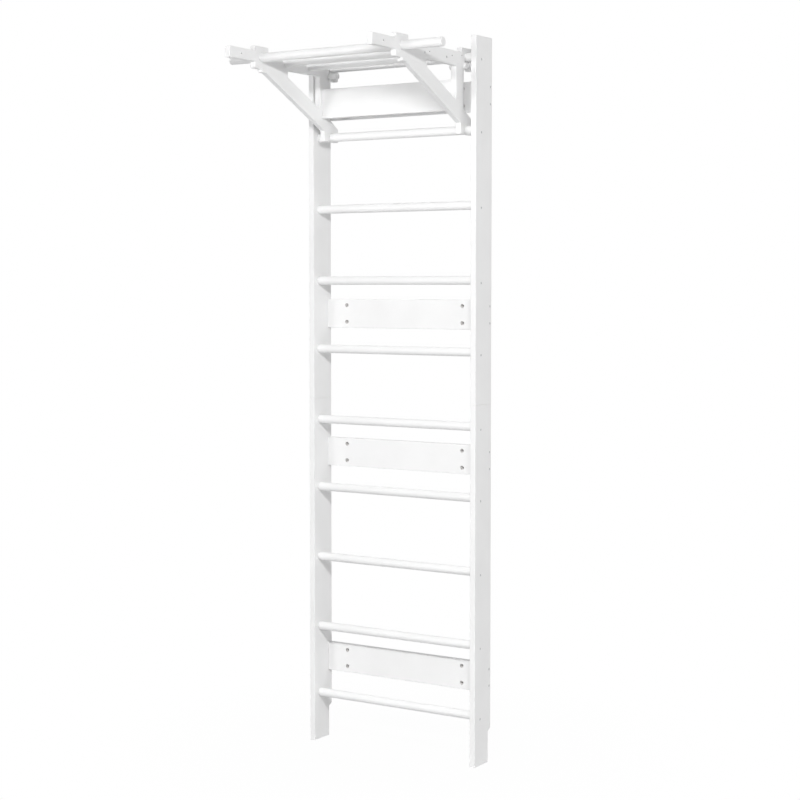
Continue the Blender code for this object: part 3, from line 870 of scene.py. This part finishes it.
def add_pin_holes(shape, side):
    for y, z in PIN_PLACES:
        add_turned(shape, [
            (CUTTER_LEAD, 0), (CUTTER_LEAD, PIN_HOLE_RADIUS), (-PIN_HOLE_DEPTH, PIN_HOLE_RADIUS),
            (-PIN_HOLE_DEPTH, 0)], facing(side, side * PLATE_OUTER_X, y, z))


print("pins in each plate:", len(PIN_PLACES))

# %% [markdown]
# ## Making the plates
# A screw from outside locks each inner bar. As on the uprights, the screw holes are cut first, and
# the sockets that they run into come after.

# %% Make the side plates
bar_screws = {}

for side_name, side in SIDES.items():
    node = "pullup_side_" + side_name
    low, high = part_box(node)
    plate = side_plate(node + "_sawn", low.x, high.x)
    screw_holes = new_shape()
    for bar_name in INNER_BARS:
        name = "bar_screw_%s_%s" % (bar_name, side_name)
        centre = middle(name)
        bar_screws[name] = facing(side, side * (PLATE_OUTER_X - GAP), centre.y, centre.z)
        add_screw_hole(screw_holes, bar_screws[name])
        screw(name + "_head", bar_screws[name], "pullup_frame", [name])
    bore(plate, screw_holes)
    bores = new_shape()
    add_through_holes(bores, low.x, high.x, middle("lock_peg_" + side_name))
    add_bar_sockets(bores, side)
    add_pin_holes(bores, side)
    bore(plate, bores)
    hand_over(plate, PLATE_PAINT, "pullup_frame", [node])

# %% [markdown]
# ## Bars and grips
# The front bar passes through both plates and sticks out as two grips, so its ends are rounded for
# the hand. The two inner bars stop in blind sockets and are held by screws. All three are dowels
# like the rungs, and only the easing and the bores differ.

# %% Make the bars
GRIP_EASE = 0.0025
BAR_EASE = 0.001

bar = dowel("pullup_bar_front", GRIP_EASE)
hand_over(bar, BAR_PAINT, "pullup_frame", ["pullup_bar_front"])
for bar_name in INNER_BARS:
    node = "pullup_bar_" + bar_name
    bar = dowel(node, BAR_EASE)
    holes = new_shape()
    for side_name in SIDES:
        add_screw_hole(holes, bar_screws["bar_screw_%s_%s" % (bar_name, side_name)])
    bore(bar, holes)
    hand_over(bar, BAR_PAINT, "pullup_frame", [node])

# %% [markdown]
# ## Pegs and pins
# The pegs slide: pushed out, they close the hooks' slots under the top rung, so each rides on a body
# of its own. A pin is a flat head with a rounded edge on a tapered shank. It could be a plain disc
# at this size, but its profile is turned like a screw's, so that its edge catches the light.

# %% Make the pegs and pins
PEG_EASE = 0.002
PIN_PROFILE = [
    (-0.0002, 0), (-0.0002, 0.0014), (-0.0003, 0.0017), (-0.0005, 0.0019), (-0.0058, 0.0008),
    (-0.0060, 0)]

for side_name, side in SIDES.items():
    node = "lock_peg_" + side_name
    hand_over(dowel(node, PEG_EASE), BAR_PAINT, node, [node])
    for number, (y, z) in enumerate(PIN_PLACES, start=1):
        name = "plate_pin_%s_%d" % (side_name, number)
        shape = new_shape()
        add_turned(shape, PIN_PROFILE, facing(side, side * PLATE_OUTER_X, y, z))
        pin = new_object(name, to_mesh(name, shape))
        hand_over(pin, PIN_STEEL, "pullup_frame")

# %% [markdown]
# ## Blocks for the studio
# The photograph is a studio shot on white. A white room could be lit until it clips, but that much
# light would wash out the ladder's shading. Light Path tells rays apart instead: one that the camera
# sends meets plain white, and one that carries light round the room meets something dimmer.

# %% Tell rays apart
def add_shown(tree):
    """1 for a ray from the camera, or one that metal or glass sends on, and 0 for any other."""
    path = tree.nodes.new("ShaderNodeLightPath")
    shown = add_math(
        tree, "MAXIMUM", path.outputs["Is Camera Ray"], path.outputs["Is Glossy Ray"])
    return add_math(tree, "MAXIMUM", shown, path.outputs["Is Transmission Ray"])


def add_white(tree, kind, strength=1.0):
    """A white Emission or Background shader."""
    white = tree.nodes.new("ShaderNode" + kind)
    white.inputs["Color"].default_value = (1, 1, 1, 1)
    white.inputs["Strength"].default_value = strength
    return white.outputs[0]


def add_mix(tree, factor, first, second):
    """Mixes two shaders."""
    mixed = tree.nodes.new("ShaderNodeMixShader")
    for socket, source in zip(mixed.inputs, (factor, first, second)):
        link(tree, source, socket)
    return mixed.outputs[0]


# %% [markdown]
# ## Floor
# The floor is pale and matt, and throws some light back up at the ladder. Close to the feet its
# colour is darker, a painted shade that also sends less light up to the ladder's foot. Seen directly
# it fades to white, but for a faint shade close to the feet, which keeps the ladder standing on
# something. Both fades follow the distance from the origin, which lies between the feet.

# %% Make the floor
FLOOR_SIZE = 30.0
FLOOR_ROUGHNESS = 0.9
# Near the feet the floor is painted darker: painted shade that also sends less light up to the
# ladder's foot.
FLOOR_NEAR_PAINTED_SHADE = grey(0.60)
FLOOR_FAR = grey(0.66)
TONE_REACH = (0.3, 1.8)        # metres from the origin over which the painted shade near the feet gives way to the far tone
WHITE_REACH = (0.3, 1.1)       # and over which the floor turns to plain white
WHITE_SHARE = (0.98, 1.0)      # how white it looks near the origin and far from it


def studio_floor():
    made, tree, surface = new_finish("studio_floor_white")
    surface.inputs["Roughness"].default_value = FLOOR_ROUGHNESS
    length = tree.nodes.new("ShaderNodeVectorMath")
    length.operation = "LENGTH"
    link(tree, add_place(tree), length.inputs[0])
    away = length.outputs["Value"]
    # Painted shade: the floor's colour is darker near the origin and lighter further out.
    tone = add_blend(tree, add_range(tree, away, *TONE_REACH), FLOOR_NEAR_PAINTED_SHADE, FLOOR_FAR)
    link(tree, tone, surface.inputs["Base Color"])
    whiteness = add_math(
        tree, "MULTIPLY", add_shown(tree), add_range(tree, away, *WHITE_REACH, *WHITE_SHARE))
    mixed = add_mix(tree, whiteness, surface.outputs[0], add_white(tree, "Emission"))
    link(tree, mixed, tree.nodes["Material Output"].inputs["Surface"])
    return made


shape = bmesh.new()
bmesh.ops.create_grid(shape, x_segments=1, y_segments=1, size=FLOOR_SIZE)
floor = new_object("studio_floor", to_mesh("studio_floor", shape))
floor.data.materials.append(studio_floor())
print("faces of the floor:", len(floor.data.polygons))

# %% [markdown]
# ## White world
# For the camera, and for what metal reflects, the world is plain white. For every other ray it is a
# dimmer, even glow, which fills the shadows as a white room does without flattening them.

# %% Light the world
GLOW = 0.49

world = bpy.data.worlds.new("studio")
bpy.context.scene.world = world
world.use_nodes = True
tree = world.node_tree
tree.nodes.clear()
mixed = add_mix(
    tree, add_shown(tree), add_white(tree, "Background", GLOW), add_white(tree, "Background"))
link(tree, mixed, tree.nodes.new("ShaderNodeOutputWorld").inputs["Surface"])
print("glow of the world:", GLOW)

# %% [markdown]
# ## Four lamps
# The shadows in the photograph say where its light came from. Each rung throws a sharp, steep wedge
# on the left upright, but edges that stand upright throw soft ones. So the main lamp is a strip,
# wide along the rungs and thin from top to bottom, which hangs near, to the right and above head
# height. It stands for a long row of lamps, so its falloff is switched off and the ladder's foot
# gets as much of it as the top. A far soft lamp from the left lights the fronts, one from the right
# lights the outer faces, and a narrow spot from below lifts the pull-up bars. All are kept low
# enough that white paint stays just short of plain white.

# %% Hang the lamps
LADDER_MIDDLE = (0.0, 0.0, 1.2)


def hang_lamp(name, kind, energy, place, aim):
    data = bpy.data.lights.new(name, kind)
    data.energy = energy
    lamp = bpy.data.objects.new(name, data)
    bpy.context.scene.collection.objects.link(lamp)
    lamp.location = place
    lamp.rotation_euler = (Vector(aim) - lamp.location).to_track_quat("-Z", "Y").to_euler()
    return data


def hang_panel(name, width, height, energy, place, aim=LADDER_MIDDLE):
    data = hang_lamp(name, "AREA", energy, place, aim)
    data.shape = "RECTANGLE"
    data.size = width
    data.size_y = height
    return data


key = hang_panel(
    "key_lamp", width=1.2, height=0.1, energy=5.95, place=(1.35, -2.2, 2.52), aim=(0.9, 0.0, 1.5))
key.use_nodes = True
falloff = key.node_tree.nodes.new("ShaderNodeLightFalloff")
falloff.inputs["Strength"].default_value = 1.0
link(key.node_tree, falloff.outputs["Constant"],
     key.node_tree.nodes["Emission"].inputs["Strength"])
hang_panel("left_lamp", width=3.0, height=1.2, energy=350.0, place=(-4.9, -14.1, 0.9))
hang_panel("right_lamp", width=2.5, height=2.5, energy=95.0, place=(9.0, -0.3, 1.6))
spot = hang_lamp("bar_lamp", "SPOT", energy=36.0, place=(-0.8, -3.2, 1.6), aim=(0.0, -0.3, 2.42))
spot.spot_size = math.radians(34)
spot.spot_blend = 1.0
spot.shadow_soft_size = 0.1
print("lamps:", sorted(data.name for data in bpy.data.lights))

# %% [markdown]
# ## Camera
# The camera stands to the right of the ladder, a metre and a half up and five and a half metres
# away, and tips down by three degrees. Its place, its turn, its lens and the small shift of its
# sensor were fitted to the picture: the ladder's vanishing points gave the angles, and its edges the
# rest.

# %% Place the camera
CAMERA_PLACE = (2.991162, -4.709365, 1.522965)
CAMERA_TIP = 0.052666          # down from level, in radians
CAMERA_TURN = 0.569672         # round Z, in radians

camera_data = bpy.data.cameras.new("photo_camera")
camera_data.sensor_width = 36.0
camera_data.lens = 76.758
camera_data.shift_y = -0.03
camera_data.clip_start = 0.05
camera = bpy.data.objects.new("photo_camera", camera_data)
bpy.context.scene.collection.objects.link(camera)
camera.location = CAMERA_PLACE
camera.rotation_euler = (math.pi / 2 - CAMERA_TIP, 0.0, CAMERA_TURN)
bpy.context.scene.camera = camera
bpy.context.scene.view_settings.view_transform = "Standard"
print("camera turned by", round(math.degrees(CAMERA_TURN), 1), "degrees")
